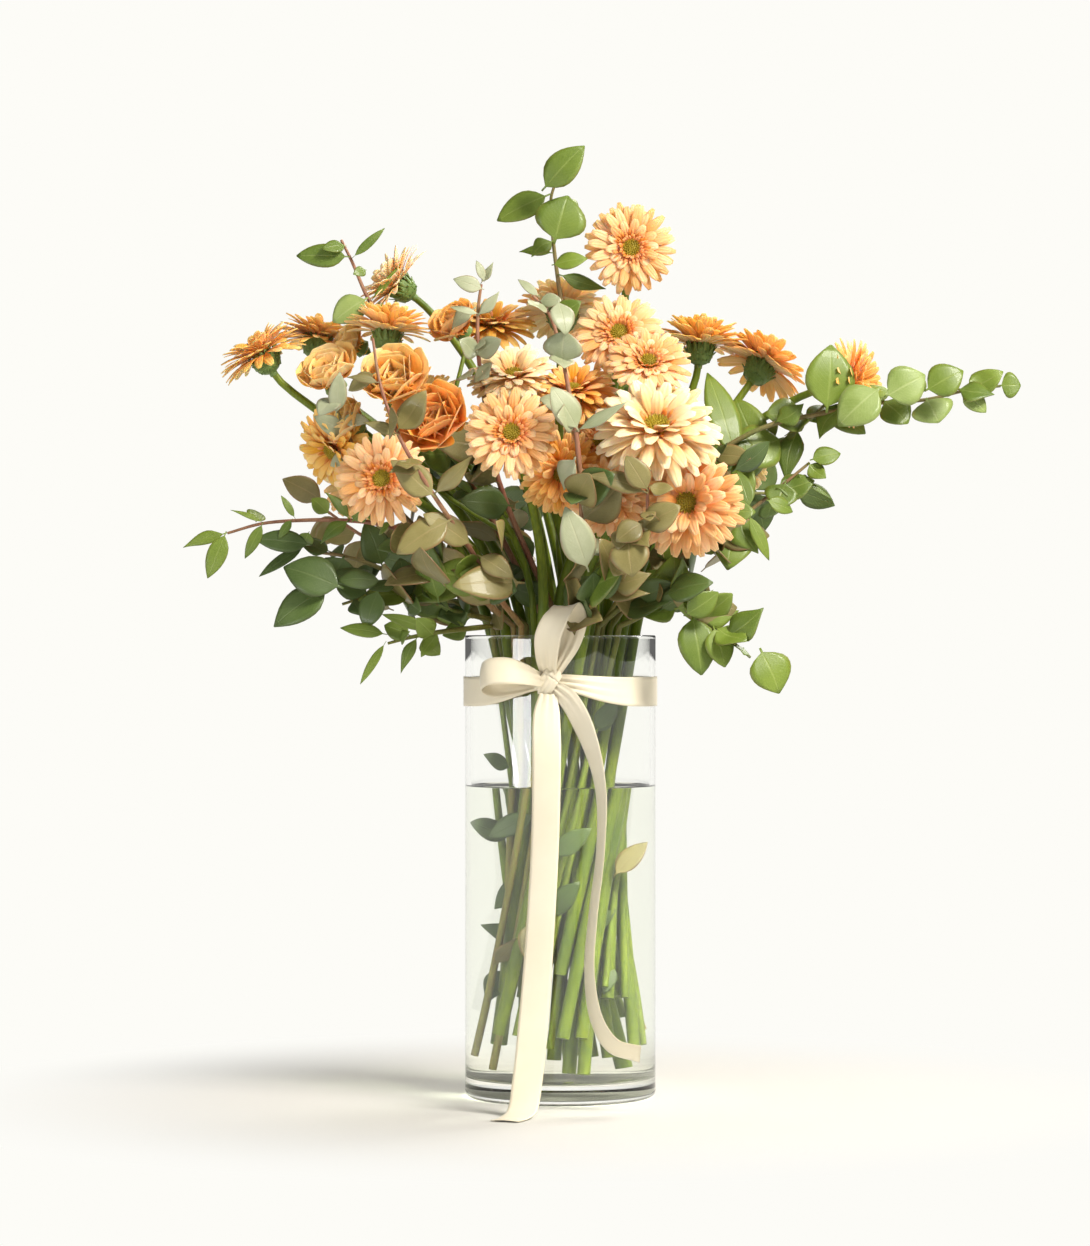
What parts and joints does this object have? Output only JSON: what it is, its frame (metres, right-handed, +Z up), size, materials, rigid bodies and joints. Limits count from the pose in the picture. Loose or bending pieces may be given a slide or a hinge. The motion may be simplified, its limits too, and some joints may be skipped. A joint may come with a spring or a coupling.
{
  "type": "vase of cut gerbera flowers",
  "caption": "Clear glass cylinder vase of water holding peach gerberas, ranunculus and eucalyptus branches, tied with a cream satin ribbon and bow",
  "frame": {"origin": "centre of the vase's foot, on the surface it stands on", "axes": "+Z up along the vase, -Y towards the bow at the front, +X to the right seen from the front; millimetres in the source"},
  "size_m": [0.5431, 0.2831, 0.617],
  "materials": {
    "clear_glass": "polished clear glass",
    "water": "clear water",
    "satin_ribbon": "satin, soft sheen",
    "petals_peach": "soft petal, matte",
    "petals_pale": "soft petal, matte",
    "petals_deep": "soft petal, matte",
    "petals_ruffled": "soft petal, matte",
    "leaves_green": "waxy leaf, satin",
    "leaves_sage": "waxy leaf, satin",
    "leaves_brown": "waxy leaf, satin"
  },
  "bodies": {
    "root": {"glass_vase": "clear_glass", "water": "water", "ribbon_band": "satin_ribbon", "ribbon_bow": "satin_ribbon", "ribbon_tail": "satin_ribbon", "gerbera_01": "petals_peach", "gerbera_02": "petals_peach", "gerbera_03": "petals_peach", "gerbera_04": "petals_pale", "gerbera_05": "petals_peach", "gerbera_06": "petals_peach", "gerbera_07": "petals_peach", "gerbera_08": "petals_peach", "gerbera_09": "petals_peach", "gerbera_10": "petals_peach", "gerbera_11": "petals_pale", "gerbera_12": "petals_deep", "gerbera_13": "petals_peach", "gerbera_14": "petals_pale", "gerbera_15": "petals_peach", "gerbera_16": "petals_deep", "gerbera_17": "petals_deep", "gerbera_18": "petals_deep", "gerbera_19": "petals_deep", "gerbera_20": "petals_deep", "gerbera_21": "petals_peach", "gerbera_22": "petals_peach", "gerbera_23": "petals_peach", "gerbera_24": "petals_deep", "gerbera_25": "petals_pale", "gerbera_26": "petals_pale", "gerbera_27": "petals_peach", "ranunculus_1": "petals_deep", "ranunculus_2": "petals_ruffled", "ranunculus_3": "petals_ruffled", "ranunculus_4": "petals_ruffled", "eucalyptus_01": "leaves_green", "eucalyptus_02": "leaves_green", "eucalyptus_03": "leaves_green", "eucalyptus_04": "leaves_green", "eucalyptus_05": "leaves_green", "eucalyptus_06": "leaves_green", "eucalyptus_07": "leaves_green", "eucalyptus_08": "leaves_green", "eucalyptus_09": "leaves_green", "eucalyptus_10": "leaves_green", "eucalyptus_11": "leaves_brown", "eucalyptus_12": "leaves_sage", "eucalyptus_13": "leaves_sage", "eucalyptus_14": "leaves_brown", "eucalyptus_15": "leaves_sage", "eucalyptus_16": "leaves_green", "eucalyptus_17": "leaves_green", "eucalyptus_18": "leaves_brown"}
  },
  "joints": []
}
